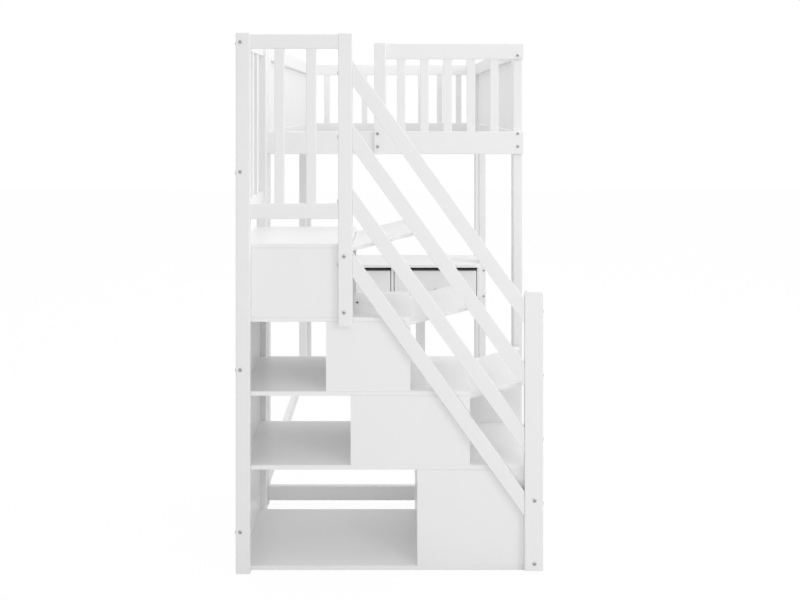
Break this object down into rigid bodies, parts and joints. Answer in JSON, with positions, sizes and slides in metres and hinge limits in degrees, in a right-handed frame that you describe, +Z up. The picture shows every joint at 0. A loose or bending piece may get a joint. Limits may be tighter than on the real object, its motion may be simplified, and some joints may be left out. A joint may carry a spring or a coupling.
{
  "type": "loft bed with storage stairs",
  "caption": "Twin loft bed with a storage staircase across one end, a slatted landing guard, open cubbies, riser flap doors and a desk with drawers under the far end.",
  "frame": {"origin": "centre of the overall outline at floor level", "axes": "+Z up; +Y along the bed away from the stair end; the stairs climb towards -X"},
  "size_m": [1.074, 2.539, 1.876],
  "materials": {
    "white_paint": "satin white paint on solid timber",
    "white_board": "smooth satin white board",
    "steel_fittings": "satin steel"
  },
  "bodies": {
    "frame": {"bed_post_near_left": "white_paint", "bed_post_near_right": "white_paint", "bed_post_far_left": "white_paint", "bed_post_far_right": "white_paint", "desk_post_left": "white_paint", "desk_post_right": "white_paint", "side_rail_left": "white_paint", "side_rail_right": "white_paint", "side_guard_left": "white_paint", "side_guard_right": "white_paint", "end_rail_near": "white_paint", "near_guard": "white_paint", "near_guard_stile": "white_paint", "end_rail_far": "white_paint", "far_guard": "white_paint", "bed_battens": "white_paint", "stretcher_near": "white_paint", "stretcher_left": "white_paint", "stretcher_right": "white_paint", "desk_top": "white_board", "desk_case": "white_board", "desk_leg_left": "white_paint", "desk_leg_right": "white_paint", "stair_post_front": "white_paint", "stair_post_rear": "white_paint", "stair_post_short": "white_paint", "newel_upper": "white_paint", "newel_lower": "white_paint", "landing_guard_front": "white_paint", "landing_guard_side": "white_paint", "handrail_1": "white_paint", "handrail_2": "white_paint", "handrail_3": "white_paint", "handrail_4": "white_paint", "stair_side_panel": "white_board", "landing_board": "white_board", "landing_panel_outer": "white_board", "landing_panel_back": "white_board", "tread_1": "white_board", "tread_2": "white_board", "tread_3": "white_board", "stair_base": "white_board", "box_1_outer": "white_board", "box_1_back": "white_board", "box_1_partition": "white_board", "box_2_outer": "white_board", "box_2_back": "white_board", "box_2_partition": "white_board", "box_3_outer": "white_board", "box_3_back": "white_board", "box_3_partition": "white_board", "lowest_step_back": "white_board"},
    "landing_door": {"riser_door_0": "white_board"},
    "upper_door": {"riser_door_1": "white_board"},
    "middle_door": {"riser_door_2": "white_board"},
    "lowest_door": {"riser_door_3": "white_board"},
    "left_drawer": {"drawer_left": "white_board", "drawer_knob_left": "steel_fittings"},
    "right_drawer": {"drawer_right": "white_board", "drawer_knob_right": "steel_fittings"}
  },
  "joints": [
    {"name": "landing_door_hinge", "type": "hinge", "parent": "frame", "child": "landing_door", "pos_m": [-0.143, -1.0045, 1.116], "axis": [0, 1, 0], "range_deg": [0, 104.3]},
    {"name": "upper_door_hinge", "type": "hinge", "parent": "frame", "child": "upper_door", "pos_m": [0.0655, -1.0045, 0.8577], "axis": [0, 1, 0], "range_deg": [0, 104.3]},
    {"name": "middle_door_hinge", "type": "hinge", "parent": "frame", "child": "middle_door", "pos_m": [0.274, -1.0045, 0.5994], "axis": [0, 1, 0], "range_deg": [0, 104.3]},
    {"name": "lowest_door_hinge", "type": "hinge", "parent": "frame", "child": "lowest_door", "pos_m": [0.51, -1.0045, 0.3411], "axis": [0, 1, 0], "range_deg": [-104.3, 0]},
    {"name": "left_drawer_slide", "type": "slide", "parent": "frame", "child": "left_drawer", "axis": [0, -1, 0], "range_m": [0, 0.25]},
    {"name": "right_drawer_slide", "type": "slide", "parent": "frame", "child": "right_drawer", "axis": [0, -1, 0], "range_m": [0, 0.25]}
  ]
}
